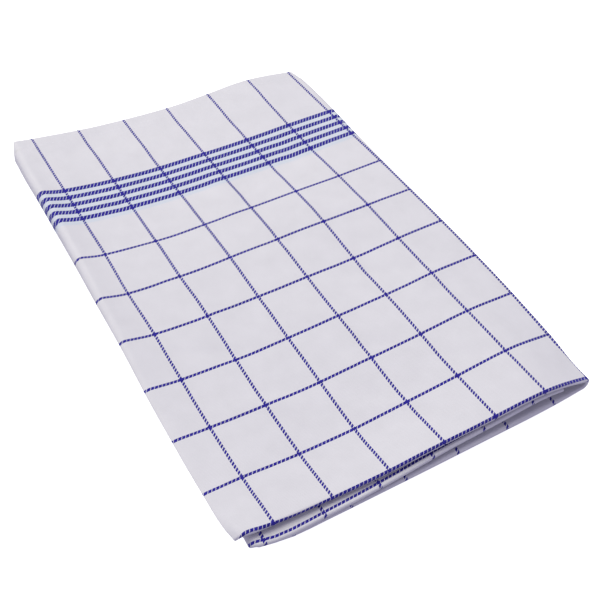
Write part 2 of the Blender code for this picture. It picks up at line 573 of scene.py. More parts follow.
    def top_height(self, x: float, y: float) -> float:
        """Height of the top sheet's middle above the floor.

        Args:
            x: Place across the pad.
            y: Place along the pad.

        Returns:
            The height.
        """
        row = tuple(self.relief.read(k + 1, y) for k in range(len(self.relief_x)))
        return along_curve(self.relief_x, row, x) + sum(c.lift(x, y) for c in self.creases)

    def hem_share(self, y: float) -> float:
        """How far the stack has made room for the hems: 0 well before them and 1 at them."""
        start = self.cloth.length / 2.0 - self.cloth.hem_width - self.hem_rise
        return ease((y - start) / self.hem_rise)

    def sheet_heights(self, x: float, y: float) -> list[float]:
        """Heights of the six sheets' middles.

        Args:
            x: Place across the pad.
            y: Place along the pad.

        Returns:
            The heights, from the floor up.
        """
        across = ease(x / self.panel_width)
        inwards = ease(y / self.front_depth)
        heights = [self.cloth.sheet / 2.0]
        spaces = self.sheets - 1
        spare = max(self.top_height(x, y) - heights[0] - spaces * self.least_pitch, 0.0)
        extra = (self.cloth.hem_sheet - self.cloth.sheet) * self.hem_share(y)
        for k in range(spaces):
            front = mix(self.shares["front left"][k], self.shares["front right"][k], across)
            inside = mix(self.shares["inside left"][k], self.shares["inside right"][k], across)
            room = extra * self.hem_room[k % 2]
            pitch = self.least_pitch + room + spare * mix(front, inside, inwards)
            heights.append(heights[-1] + pitch)
        return heights

    def panel_middle(self, panel: Panel, x: float, y: float) -> tuple[float, float]:
        """Middle of a panel.

        Args:
            panel: The panel.
            x: Place across the pad.
            y: Place along the pad.

        Returns:
            The height halfway between its two sheets, and half the distance between them.
        """
        heights = self.sheet_heights(x, y)
        low, high = heights[panel.lower_sheet], heights[panel.lower_sheet + 1]
        return (low + high) / 2.0, (high - low) / 2.0

    def panel_place(self, panel: Panel, across: float, t: float) -> tuple[float, float]:
        """Place on a panel.

        Args:
            panel: The panel.
            across: 0 at the left fold and 1 at the right one.
            t: 0 at the front fold and 1 at the hems.

        Returns:
            The place across and along the pad.
        """
        at = self.panel_width * across
        front = self.front_fold.read(panel.value, at)
        back = self.cloth.length / 2.0 + self.back_hems.read(panel.value, at)
        y = mix(front, back, t)
        left = self.top_left if panel is Panel.TOP else self.fold_lines.read(1, y)
        return mix(left, self.fold_lines.read(2, y), across), y

    # ---- the run of the cloth across the pad, read by the weave

    def aside(self, x: float, y: float) -> float:
        """How far the top panel's lengthwise threads lie aside.

        Args:
            x: Place across the pad.
            y: Place along the pad.

        Returns:
            The distance to the left.
        """
        return sum(shift.across * shift.share(x, y) for shift in self.shifts)

    def turn_radii(self, upper: Panel, x: float, y: float) -> tuple[float, float]:
        """Half height and bulge of the fold between the base and an upper panel.

        Args:
            upper: The upper panel.
            x: Place across the pad.
            y: Place along the pad.

        Returns:
            The two radii.
        """
        low = self.panel_middle(Panel.BASE, x, y)[0]
        high = self.panel_middle(upper, x, y)[0]
        radius = (high - low) / 2.0
        bulge = mix(math.sqrt(self.least_turn * radius), radius, self.hem_share(y))
        return radius, bulge

    def right_turn_run(self, y: float, share: float) -> float:
        """Cloth from the selvage in the right turn.

        Args:
            y: Place along the pad.
            share: 1 where the top panel ends and 0 where the base panel starts.

        Returns:
            The run.
        """
        right = self.fold_lines.read(2, y)
        radius, bulge = self.turn_radii(Panel.TOP, right, y)
        arcs = [0.0]
        for k in range(self.turn_arcs):
            angle = math.pi * (k + 0.5) / self.turn_arcs
            speed = math.hypot(bulge * math.cos(angle), radius * math.sin(angle))
            arcs.append(arcs[-1] + speed * math.pi / self.turn_arcs)
        turned = (1.0 - share) * self.turn_arcs
        low = min(int(turned), self.turn_arcs - 1)
        start = self.run_of_x0 + right + self.aside(right, y)
        missing = self.base_right_run(y, start + arcs[-1]) - start - arcs[-1]
        return start + mix(arcs[low], arcs[low + 1], turned - low) + missing * ease(1.0 - share)

    def base_right_run(self, y: float, natural: float) -> float:
        """Cloth from the selvage where the base panel starts.

        Args:
            y: Place along the pad.
            natural: The run if the turn took up just its own length.

        Returns:
            The run, which in front keeps the base panel's lines where they show.
        """
        shown = self.base_run - self.fold_lines.read(2, y)
        return mix(shown, natural, ease(y / self.thread_drift))

    def base_runs(self, y: float) -> tuple[float, float]:
        """Cloth from the selvage at the base panel's right and left end.

        Args:
            y: Place along the pad.

        Returns:
            The two runs.
        """
        start = self.right_turn_run(y, 0.0)
        return start, start + self.fold_lines.read(2, y) - self.fold_lines.read(1, y)

    # ---- lines along the pad

    def flat_section(self, panel: Panel, across: float) -> Section:
        """A line along a panel where it lies flat.

        Args:
            panel: The panel.
            across: 0 at the left fold and 1 at the right one.

        Returns:
            The line.
        """
        up = -1.0 if panel is Panel.BASE else 1.0
        drop = self.line_drops.read(panel.value, across * self.panel_width)

        def read(t: float) -> Spot:
            """Reads the line.

            Args:
                t: Share of the length, 0 at the front fold and 1 at the hems.

            Returns:
                The spot there.
            """
            x, y = self.panel_place(panel, across, t)
            z, half = self.panel_middle(panel, x, y)
            if panel is Panel.TOP:
                run = self.run_of_x0 + x + self.aside(x, y)
            elif panel is Panel.BASE:
                run = mix(*self.base_runs(y), 1.0 - across)
            else:
                start = self.base_runs(y)[1] + self.left_turn_cloth
                run = mix(start, self.cloth.width, across * self.panel_width / self.middle_width)
            return Spot(x, y, z, 0.0, up, half, run)

        return Section(read, drop, 1.0 if panel is Panel.TOP else 0.0)

    def turn_section(self, upper: Panel, side: Side, share: float) -> Section:
        """A line along the fold between the base and an upper panel.

        Args:
            upper: The upper panel.
            side: Left or right.
            share: Share of the turn, 0 at the base panel.

        Returns:
            The line.
        """
        angle = math.pi * share
        across = 0.0 if side is Side.LEFT else 1.0

        def read(t: float) -> Spot:
            """Reads the line.

            Args:
                t: Share of the length, 0 at the front fold and 1 at the hems.

            Returns:
                The spot there.
            """
            x, low_y = self.panel_place(Panel.BASE, across, t)
            y = mix(low_y, self.panel_place(upper, across, t)[1], share)
            low, low_half = self.panel_middle(Panel.BASE, x, y)
            high, high_half = self.panel_middle(upper, x, y)
            radius, bulge = self.turn_radii(upper, x, y)
            outwards, upwards = side.value * math.sin(angle), -math.cos(angle)
            length = math.hypot(radius * outwards, bulge * upwards)
            if side is Side.RIGHT:
                run = self.right_turn_run(y, share)
            else:
                run = self.base_runs(y)[1] + self.left_turn_cloth * share
            return Spot(
                x + bulge * outwards,
                y,
                (low + high) / 2.0 + radius * upwards,
                radius * outwards / length,
                bulge * upwards / length,
                mix(low_half, high_half, share),
                run,
            )

        low_drop, high_drop = (
            self.line_drops.read(panel.value, across * self.panel_width)
            for panel in (Panel.BASE, upper)
        )
        on_top = share if upper is Panel.TOP else 0.0
        return Section(read, mix(low_drop, high_drop, share), on_top)

    def hem_pull(self, y: float) -> float:
        """How far the stitched hem draws in the selvage.

        Args:
            y: Place along the pad.

        Returns:
            The distance, which is 0 outside the hem.
        """
        hem_end = self.cloth.length / 2.0 + self.back_hems.rows[0][3]
        start = hem_end - self.cloth.hem_width
        inside = ease((y - start) / self.hem_edge + 0.5)
        return inside * mix(self.hem_pulls[0], self.hem_pulls[1], (y - start) / self.cloth.hem_width)

    def edge_section(self, share: float) -> Section:
        """A line along the top panel's free edge.

        Args:
            share: 0 where the free edge starts and 1 at the selvage.

        Returns:
            The line.
        """
        start = self.edge_start / self.panel_width

        def read(t: float) -> Spot:
            """Reads the line.

            Args:
                t: Share of the length, 0 at the front fold and 1 at the hems.

            Returns:
                The spot there.
            """
            x = self.panel_place(Panel.TOP, start, t)[0]
            y = self.panel_place(Panel.TOP, start * (1.0 - 2.0 * share), t)[1]
            length, straight, bend = (self.free_edge.read(k, y) for k in (1, 2, 3))
            bend = math.radians(bend)
            from_selvage = (self.run_of_x0 + x + self.aside(x, y)) * (1.0 - share)
            drawn = share * (length - self.hem_pull(y))
            level_run = min(drawn, straight)
            turned = min(max(drawn - straight, 0.0) / self.edge_bend, bend)
            hanging = max(drawn - straight - self.edge_bend * bend, 0.0)
            z, half = self.panel_middle(Panel.TOP, x - level_run, y)
            x -= level_run + self.edge_bend * math.sin(turned) + hanging * math.cos(turned)
            z -= self.edge_bend * (1.0 - math.cos(turned)) + hanging * math.sin(turned)
            return Spot(x, y, z, -math.sin(turned), math.cos(turned), half, from_selvage)

        place = self.edge_start * (1.0 - 2.0 * share)
        return Section(read, self.line_drops.read(Panel.TOP.value, place), 1.0)

    def length_run(self, section: Section, spot: Spot, stop: Stop) -> float:
        """Cloth from the first hem at a stop.

        Args:
            section: The line that the spot is on.
            spot: The spot.
            stop: The stop.

        Returns:
            The run along the cloth.
        """
        middle = self.cloth.length / 2.0
        if 0.0 < stop.angle < math.pi:
            return middle + (stop.angle - math.pi / 2.0) * spot.half + section.line_drop
        inner = stop.angle > 0.0
        drop = -section.line_drop if inner else section.line_drop
        in_front = section.front - math.pi / 2.0 * spot.half + drop
        behind = section.back - middle
        run = middle - spot.y
        run += in_front * (1.0 - ease((spot.y - section.front) / self.front_reach))
        run += behind * ease((spot.y - self.back_reach) / (section.back - self.back_reach))
        if not inner:
            moved = sum(shift.along * shift.share(spot.x, spot.y) for shift in self.shifts)
            run += section.on_top * moved
        return self.cloth.length - run if inner else run

    def point(self, section: Section, stop: Stop) -> ClothPoint:
        """Point of the cloth at a section and a stop.

        Args:
            section: Line along the pad.
            stop: Place along the cloth.

        Returns:
            The point, its runs and the thickness of the cloth there.
        """
        spot = section.read(stop.share)
        sheet = self.cloth.hem_sheet if stop.hem else self.cloth.sheet
        # A hem is turned to the wrong side, which faces the panel's other sheet.
        offset = (spot.half - (sheet - self.cloth.sheet) / 2.0) * math.cos(stop.angle)
        place = Vector(
            (
                spot.x + spot.out_x * offset - self.centre_x,
                spot.y - spot.half * math.sin(stop.angle) - self.centre_y,
                spot.z + spot.out_z * offset,
            )
        )
        length = self.length_run(section, spot, stop)
        return ClothPoint(place * MM, spot.run * MM, length * MM, sheet)


# ----------------------------------------------------------------------------- finishes


def linear(colour: str) -> tuple[float, float, float, float]:
    """Turns an sRGB colour to linear.

    Args:
        colour: Hex value such as "#2a1f8f".

    Returns:
        Red, green, blue and an alpha of 1.
    """
    parts = [int(colour[k : k + 2], 16) / 255.0 for k in (1, 3, 5)]
    red, green, blue = (
        c / 12.92 if c <= 0.04045 else ((c + 0.055) / 1.055) ** 2.4 for c in parts
    )
    return red, green, blue, 1.0


def add_node(
    tree: Tree, kind: str, inputs: dict[int | str, object], **settings: Setting
) -> Socket | None:
    """Adds a node with its settings, values and links.

    Args:
        tree: The node tree.
        kind: Blender's name of the node's type.
        inputs: A value, or another node's output, for each input by number or name.
        **settings: The node's own settings.

    Returns:
        The node's first output, if it has one.
    """
    node = tree.nodes.new(kind)
    for name, setting in settings.items():
        setattr(node, name, setting)
    for key, value in inputs.items():
        if isinstance(value, Socket):
            tree.links.new(value, node.inputs[key])
        else:
            node.inputs[key].default_value = value
    return node.outputs[0] if node.outputs else None


def new_material(name: str) -> tuple[bpy.types.Material, Tree]:
    """Starts a material without any nodes.

    Args:
        name: What it is called.

    Returns:
        The material and its node tree.
    """
    material = bpy.data.materials.new(name)
    material.use_nodes = True
    material.node_tree.nodes.clear()
    return material, material.node_tree


# Blender's names of the nodes that are used more than once.
MATH = "ShaderNodeMath"
VECTOR = "ShaderNodeVectorMath"
MIX = "ShaderNodeMix"
MAP_RANGE = "ShaderNodeMapRange"
NOISE = "ShaderNodeTexNoise"
COORDINATES = "ShaderNodeTexCoord"
PRINCIPLED = "ShaderNodeBsdfPrincipled"
OUTPUT = "ShaderNodeOutputMaterial"

# Threads have whole numbers, so a test on a number is made halfway between two of them.
HALF_THREAD = 0.5


def blue_band(tree: Tree, number: Socket, first: int, repeat: int, width: int) -> Socket:
    """Marks blue threads that come in even groups.

    Args:
        tree: The node tree.
        number: Number of the thread.
        first: Number of the first blue thread of one group.
        repeat: Threads from one group to the next.
        width: Blue threads in a group.

    Returns:
        1 on the blue threads and 0 between the groups.
    """
    past = add_node(tree, MATH, {0: number, 1: first}, operation="SUBTRACT")
    within = add_node(tree, MATH, {0: past, 1: repeat}, operation="FLOORED_MODULO")
    return add_node(tree, MATH, {0: within, 1: width - HALF_THREAD}, operation="LESS_THAN")


@dataclass(frozen=True)
class Dashes:
    """How white floats break up the blue threads of one direction.

    Attributes:
        gap: Share of a blue thread that the floats cover.
        repeat: Threads from one drawn gap to the next.
        step: How far the gaps move on from one thread to the next, in threads.
    """

    gap: float
    repeat: float
    step: float

    def add(self, tree: Tree, place: Socket, number: Socket) -> Socket:
        """Adds the dashes to a material.

        Args:
            tree: The node tree.
            place: Place along the threads, in threads.
            number: Number of the thread.

        Returns:
            1 on the dashes and 0 in the gaps.
        """
        phase = add_node(
            tree, MATH, {0: number, 1: self.step, 2: place}, operation="MULTIPLY_ADD"
        )
        within = add_node(tree, MATH, {0: phase, 1: self.repeat}, operation="FLOORED_MODULO")
        return add_node(
            tree, MATH, {0: within, 1: self.repeat * self.gap}, operation="GREATER_THAN"
        )


@dataclass(frozen=True)
class ThreadSockets:
    """A material's sockets that say where in the weave a point of the cloth lies.

    Attributes:
        metres: Cloth from the selvage and from the first hem, in metres.
        numbers: Numbers of the lengthwise and the crosswise thread, as one vector.
        warp: Number of the lengthwise thread.
        weft: Number of the crosswise thread.
        across_warp: Place across the lengthwise thread, from 0 to 1.
        across_weft: Place across the crosswise thread, from 0 to 1.
        from_selvage: Place along the crosswise threads, in threads.
        from_hem: Place along the lengthwise threads, in threads from the first hem.
    """

    metres: Socket
    numbers: Socket
    warp: Socket
    weft: Socket
    across_warp: Socket
    across_weft: Socket
    from_selvage: Socket
    from_hem: Socket


@dataclass(frozen=True)
class CottonTwill:
    """Bleached cotton, woven as a balanced 2/2 twill with yarn-dyed blue threads.

    It looks matt and soft, with fine diagonal ribs, and its blue lines break up into slanted
    dashes, because every blue thread is on top for two threads and below for the next two.

    Attributes:
        cloth: The weave's thread counts and pitches.
        white: Colour of the bleached threads.
        blue: Colour of the dyed threads.
        navy: The darkest that the dyed threads are.
        cast: Colour of the white threads between the stripes, which the dye has tinged.
        shade_seed: Picks the dyed yarn's random shades. Another value gives other ones.
        groove: Share of the yarn's colour left in the grooves between threads, as painted shade.
        crown: Share of a float's height above which no shade is painted.
        worn: Brightness of the dullest patches.
        worn_range: The patch noise where the cloth is dullest and where it is brightest.
        patch_scale: Scale of the patch noise, in patches to a metre.
        in_warp: Dashes of the blue lengthwise threads.
        in_weft: Dashes of the blue crosswise threads.
        wander: How far threads stray from their straight line, in threads.
        wander_scale: How often they stray to and fro in a metre.
        roughness: Of the matt cotton.
        specular: Weak reflection of the fibres.
        sheen: Soft light at a glancing view from the fuzz.
        relief: Height of a thread over its neighbours, in millimetres.
    """

    cloth: ClothPlan = field(default_factory=ClothPlan)
    white: str = "#dcdadf"
    blue: str = "#2f27a0"
    navy: str = "#201a78"
    cast: str = "#d2d7e1"
    shade_seed: float = 0.05
    groove: float = 0.80
    crown: float = 0.7
    worn: float = 0.95
    worn_range: Row = (0.3, 0.7)
    patch_scale: float = 70.0
    in_warp: Dashes = Dashes(gap=0.31, repeat=4.7, step=0.8)
    in_weft: Dashes = Dashes(gap=0.15, repeat=5.2, step=0.6)
    wander: float = 1.8
    wander_scale: float = 28.0
    roughness: float = 0.9
    specular: float = 0.2
    sheen: float = 0.08
    relief: float = 0.05

    def threads(self, tree: Tree) -> ThreadSockets:
        """Counts the threads, which wander a little, as soft yarn does.

        Args:
            tree: The node tree.

        Returns:
            The sockets, which follow the cloth's own run in the UV map.
        """
        metres = add_node(tree, "ShaderNodeUVMap", {}, uv_map=UV_NAME)
        per_thread = (1.0 / (self.cloth.warp_pitch * MM), 1.0 / (self.cloth.weft_pitch * MM), 0.0)
        straight = add_node(tree, VECTOR, {0: metres, 1: per_thread}, operation="MULTIPLY")
        noise = add_node(
            tree,
            NOISE,
            {"Vector": metres, "Scale": self.wander_scale, "Detail": 2.0, "Roughness": 0.5},
        ).node.outputs["Color"]
        centred = add_node(tree, VECTOR, {0: noise, 1: (0.5, 0.5, 0.5)}, operation="SUBTRACT")
        stray = (self.wander, self.wander, 0.0)
        threads = add_node(
            tree, VECTOR, {0: centred, 1: stray, 2: straight}, operation="MULTIPLY_ADD"
        )
        numbers = add_node(tree, VECTOR, {0: threads}, operation="FLOOR")
        within = add_node(tree, VECTOR, {0: threads}, operation="FRACTION")
        parts = []
        for vector in (numbers, within, threads):
            split = add_node(tree, "ShaderNodeSeparateXYZ", {0: vector}).node
            parts += [split.outputs["X"], split.outputs["Y"]]
        return ThreadSockets(metres, numbers, *parts)

    def dyed_threads(self, tree: Tree, at: ThreadSockets) -> tuple[Socket, Socket, Socket]:
        """Marks the dyed threads of the check and of the border.

        Args:
            tree: The node tree.
            at: The place in the weave.

        Returns:
            1 on the dyed lengthwise threads, 1 on the crosswise ones and 1 in the border.
        """
        cloth = self.cloth
        # Both ends of the cloth have the same border, so threads are counted from the nearer hem.
        count = cloth.length / cloth.weft_pitch
        mirrored = add_node(tree, MATH, {0: count, 1: at.from_hem}, operation="SUBTRACT")
        nearer = add_node(tree, MATH, {0: at.from_hem, 1: mirrored}, operation="MINIMUM")
        number = add_node(tree, MATH, {0: nearer}, operation="FLOOR")
        warp_blue, line, stripe = (
            blue_band(tree, *group)
            for group in (
                (at.warp, cloth.first_warp, cloth.warp_repeat, cloth.line_threads),
                (number, cloth.middle_line, cloth.weft_repeat, cloth.line_threads),
                (number, cloth.first_stripe, cloth.stripe_repeat, cloth.stripe_threads),
            )
        )
        beyond = add_node(tree, MATH, {0: number, 1: cloth.last_line}, operation="GREATER_THAN")
        check = add_node(tree, MATH, {0: line, 1: beyond}, operation="MULTIPLY")
        first = cloth.first_stripe - HALF_THREAD
        last = first + cloth.stripe_repeat * cloth.stripes
        started = add_node(tree, MATH, {0: number, 1: first}, operation="GREATER_THAN")
        ended = add_node(tree, MATH, {0: number, 1: last}, operation="LESS_THAN")
        border = add_node(tree, MATH, {0: started, 1: ended}, operation="MULTIPLY")
        in_border = add_node(tree, MATH, {0: stripe, 1: border}, operation="MULTIPLY")
        weft_blue = add_node(tree, MATH, {0: check, 1: in_border}, operation="MAXIMUM")
        return warp_blue, weft_blue, border

    def dashed(self, tree: Tree, at: ThreadSockets, warp_blue: Socket, weft_blue: Socket) -> Socket:
        """Breaks the blue threads up where white floats cover them.

        Args:
            tree: The node tree.
            at: The place in the weave.
            warp_blue: 1 on the dyed lengthwise threads.
            weft_blue: 1 on the dyed crosswise threads.

        Returns:
            1 where blue shows.
        """
        # In the real twill a gap comes every four threads and steps on by one. That is too fine
        # to show, so the dashes are drawn coarser than the real twill, and they stand steeper.
        warp_dashes = self.in_warp.add(tree, at.from_hem, at.warp)
        weft_dashes = self.in_weft.add(tree, at.from_selvage, at.weft)
        warp_dash = add_node(tree, MATH, {0: warp_blue, 1: warp_dashes}, operation="MULTIPLY")
        weft_dash = add_node(tree, MATH, {0: weft_blue, 1: weft_dashes}, operation="MULTIPLY")
        either = add_node(tree, MATH, {0: warp_dash, 1: weft_dash}, operation="MAXIMUM")
        # Where two lines cross, both threads are blue and no float is white.
        crossing = add_node(tree, MATH, {0: warp_blue, 1: weft_blue}, operation="MULTIPLY")
        return add_node(tree, MATH, {0: either, 1: crossing}, operation="MAXIMUM")

    def floats(self, tree: Tree, at: ThreadSockets) -> tuple[Socket, Socket]:
        """Weaves the twill at its real pitch.

        Args:
            tree: The node tree.
            at: The place in the weave.

        Returns:
            1 where the warp is on top, and the height of the float there, from 0 to 1.
        """
        # A 2/2 twill: the warp is on top for two threads, then the weft, one thread further along
        # on each next thread.
        span = self.cloth.twill_repeat / 2.0
        both = add_node(tree, MATH, {0: at.warp, 1: at.weft}, operation="ADD")
        step = add_node(
            tree, MATH, {0: both, 1: self.cloth.twill_repeat}, operation="FLOORED_MODULO"
        )
        warp_up = add_node(tree, MATH, {0: step, 1: span - HALF_THREAD}, operation="LESS_THAN")
        # A float is a rounded hump, high in its middle and low where it dives under.
        crest = add_node(tree, MIX, {0: warp_up, 2: at.across_weft, 3: at.across_warp})
        in_float = add_node(tree, MIX, {0: warp_up, 2: at.across_warp, 3: at.across_weft})
        half_step = add_node(tree, MATH, {0: step, 1: span}, operation="FLOORED_MODULO")
        along = add_node(tree, MATH, {0: half_step, 1: in_float}, operation="ADD")
        humps = []
        for place, length in ((crest, 1.0), (along, span)):
            angle = add_node(tree, MATH, {0: place, 1: math.pi / length}, operation="MULTIPLY")
            humps.append(add_node(tree, MATH, {0: angle}, operation="SINE"))
        hump = add_node(tree, MATH, {0: humps[0], 1: humps[1]}, operation="MULTIPLY")
        return warp_up, hump

    def light(self, tree: Tree, at: ThreadSockets, hump: Socket) -> Socket:
        """Paints shade into the grooves between threads and darkens the worn patches.

        Args:
            tree: The node tree.
            at: The place in the weave.
            hump: Height of the float, from 0 to 1.

        Returns:
            The share of the yarn's colour that is left by the painted groove shade and the worn
            patches.
        """
        # Painted shade: the colour is darkened where a float dives into the groove between threads.
        painted_groove_shade = add_node(
            tree, MAP_RANGE, {0: hump, 1: 0.0, 2: self.crown, 3: self.groove, 4: 1.0}
        )
        # Washing and use leave the cloth a little uneven in patches.
        patches = add_node(
            tree,
            NOISE,
            {"Vector": at.metres, "Scale": self.patch_scale, "Detail": 3.0, "Roughness": 0.6},
        )
        dull, bright = self.worn_range
        worn = add_node(tree, MAP_RANGE, {0: patches, 1: dull, 2: bright, 3: self.worn, 4: 1.0})
        return add_node(tree, MATH, {0: painted_groove_shade, 1: worn}, operation="MULTIPLY")

    def yarn(
        self, tree: Tree, at: ThreadSockets, warp_up: Socket, blue: Socket, border: Socket
    ) -> Socket:
        """Colours the yarn.

        Args:
            tree: The node tree.
            at: The place in the weave.
            warp_up: 1 where the warp is on top.
            blue: 1 where blue shows.
            border: 1 in the border.

        Returns:
            The colour.
        """
        # Dyed yarn is uneven, so it is a little lighter or darker at each crossing of threads.
        seeds = add_node(
            tree,
            MIX,
            {0: warp_up, 4: (self.shade_seed, 1.0, 0.0), 5: (1.0, self.shade_seed, 0.0)},
            data_type="VECTOR",
        ).node.outputs[1]
        seeded = add_node(tree, VECTOR, {0: at.numbers, 1: seeds}, operation="MULTIPLY")
        shade = add_node(tree, "ShaderNodeTexWhiteNoise", {0: seeded}, noise_dimensions="2D")
        dyed, bleached = (
            add_node(
                tree, MIX, {0: share, 6: linear(low), 7: linear(high)}, data_type="RGBA"
            ).node.outputs[2]
            for share, low, high in (
                (shade, self.blue, self.navy),
                (border, self.white, self.cast),
            )
        )
        return add_node(
            tree, MIX, {0: blue, 6: bleached, 7: dyed}, data_type="RGBA"
        ).node.outputs[2]

    def material(self) -> bpy.types.Material:
        """Builds the woven material.

        Returns:
            The material, which reads the cloth's own run from its UV map.
        """
        material, tree = new_material("woven_cotton_twill")
        at = self.threads(tree)
        warp_blue, weft_blue, border = self.dyed_threads(tree, at)
        blue = self.dashed(tree, at, warp_blue, weft_blue)
        warp_up, hump = self.floats(tree, at)
        colour = self.yarn(tree, at, warp_up, blue, border)
        light = self.light(tree, at, hump)
        # The painted groove shade and the worn patches are multiplied into the colour.
        shaded = add_node(tree, VECTOR, {0: colour, 3: light}, operation="SCALE")
        bump = add_node(
            tree,
            "ShaderNodeBump",
            {"Height": hump, "Distance": self.relief * MM, "Strength": 0.6},
        )
        shader = add_node(
            tree,
            PRINCIPLED,
            {
                "Base Color": shaded,
                "Roughness": self.roughness,
                "Specular IOR Level": self.specular,
                "Sheen Weight": self.sheen,
                "Sheen Roughness": 0.5,
                "Normal": bump,
            },
        )
        add_node(tree, OUTPUT, {"Surface": shader})
        return material


@dataclass(frozen=True)
class SewingThread:
    """White polyester sewing thread, which shines a little more than the cotton it holds.

    Attributes:
        white: Its colour, brighter than the cloth's.
        shadow: Painted shade between its plies.
        twist: Bands of its twist, at the wave texture's own scale.
        slant: How the bands lean, as shares of x, y and z.
        roughness: Of the smooth filament.
        specular: Its reflection.
    """

    white: str = "#e9e8ec"
    shadow: str = "#d3d2da"
    twist: float = 75.0
    slant: Row = (1.0, 0.6, 0.6)
    roughness: float = 0.55
    specular: float = 0.4

    def material(self) -> bpy.types.Material:
        """Builds the thread's material.

        Returns:
            The material, with its twist as fine slanted bands of painted shade.
        """
        material, tree = new_material("white_sewing_thread")
        place = add_node(tree, COORDINATES, {}).node.outputs["Object"]
        slanted = add_node(tree, VECTOR, {0: place, 1: self.slant}, operation="MULTIPLY")
        bands = add_node(
            tree, "ShaderNodeTexWave", {"Vector": slanted, "Scale": self.twist}
        ).node.outputs["Fac"]
        # The bands paint shade between the plies of the twist.
        colour = add_node(
            tree,
            MIX,
            {0: bands, 6: linear(self.shadow), 7: linear(self.white)},
            data_type="RGBA",
        ).node.outputs[2]
        shader = add_node(
            tree,
            PRINCIPLED,
            {
                "Base Color": colour,
                "Roughness": self.roughness,
                "Specular IOR Level": self.specular,
            },
        )
        add_node(tree, OUTPUT, {"Surface": shader})
        return material


@dataclass(frozen=True)
class LightTable:
    """Opal glass lit from below. It gives a plain white ground with hardly any shadow.

    Attributes:
        white: Its colour without the light.
        glow: Strength of the light that comes through it.
        grain: Scale of its fine grain, in grains to a metre.
        roughness: Least and greatest roughness over the grain.
        specular: Its weak reflection.
    """

    white: str = "#b8b8b8"
    glow: float = 1.0
    grain: float = 900.0
    roughness: Row = (0.8, 0.9)
    specular: float = 0.1

    def material(self) -> bpy.types.Material:
        """Builds the floor's material.

        Returns:
            The material.
        """
        material, tree = new_material("opal_light_table")
        place = add_node(tree, COORDINATES, {}).node.outputs["Object"]
        grain = add_node(tree, NOISE, {"Vector": place, "Scale": self.grain})
        smooth, rough = self.roughness
        roughness = add_node(tree, MAP_RANGE, {0: grain, 3: smooth, 4: rough})
        shader = add_node(
            tree,
            PRINCIPLED,
            {
                "Base Color": linear(self.white),
                "Roughness": roughness,
                "Specular IOR Level": self.specular,
                "Emission Color": (1.0, 1.0, 1.0, 1.0),
                "Emission Strength": self.glow,
            },
        )
        add_node(tree, OUTPUT, {"Surface": shader})
        return material


# ------------------------------------------------------------------------------- pieces


def make_piece(
    name: str, shape: bmesh.types.BMesh, material: bpy.types.Material
) -> bpy.types.Object:
    """Makes an object of a finished mesh.

    Args:
        name: What the piece is called.
        shape: Its mesh, which is freed.
        material: Its finish.

    Returns:
        The piece, in the scene.
    """
    mesh = bpy.data.meshes.new(name)
    shape.to_mesh(mesh)
    shape.free()
    mesh.shade_smooth()
    mesh.materials.append(material)
    piece = bpy.data.objects.new(name, mesh)
    bpy.context.collection.objects.link(piece)
    return piece


